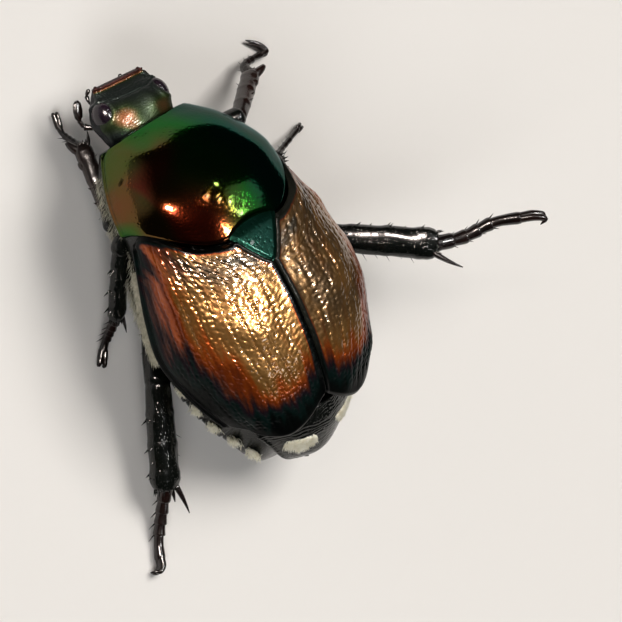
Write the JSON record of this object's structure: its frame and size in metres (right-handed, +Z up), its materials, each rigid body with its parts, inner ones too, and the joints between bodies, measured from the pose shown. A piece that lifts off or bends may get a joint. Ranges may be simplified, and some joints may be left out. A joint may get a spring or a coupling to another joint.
{
  "type": "two-spotted flower scarab",
  "caption": "Life-size still model of a metallic scarab beetle, wing cases closed, five feet on the floor and one hind leg raised",
  "frame": {"origin": "on the floor, under the middle of the whole model's box", "axes": "+Z up, the head towards -Y, the beetle's left side towards +X"},
  "size_m": [0.0138, 0.0116, 0.0047],
  "materials": {
    "green_shell": "very glossy metallic green and copper shell, finely dotted",
    "wing_case": "glossy golden copper brown shell with rows of small pits and black green edges",
    "black_shell": "glossy black green shell",
    "eye": "dark purple black faceted eye",
    "white_hair": "close cream white hair"
  },
  "bodies": {
    "root": {"head": "green_shell", "eye_left": "eye", "eye_right": "eye", "antenna_left": "black_shell", "antenna_right": "black_shell", "pronotum": "green_shell", "scutellum": "green_shell", "elytron_left": "wing_case", "elytron_right": "wing_case", "thorax": "black_shell", "abdomen": "black_shell", "pygidium": "black_shell", "femur_front_left": "black_shell", "shin_front_left": "black_shell", "femur_front_right": "black_shell", "shin_front_right": "black_shell", "femur_middle_left": "black_shell", "shin_middle_left": "black_shell", "femur_middle_right": "black_shell", "shin_middle_right": "black_shell", "femur_hind_left": "black_shell", "shin_hind_left": "black_shell", "femur_hind_right": "black_shell", "shin_hind_right": "black_shell"}
  },
  "joints": []
}
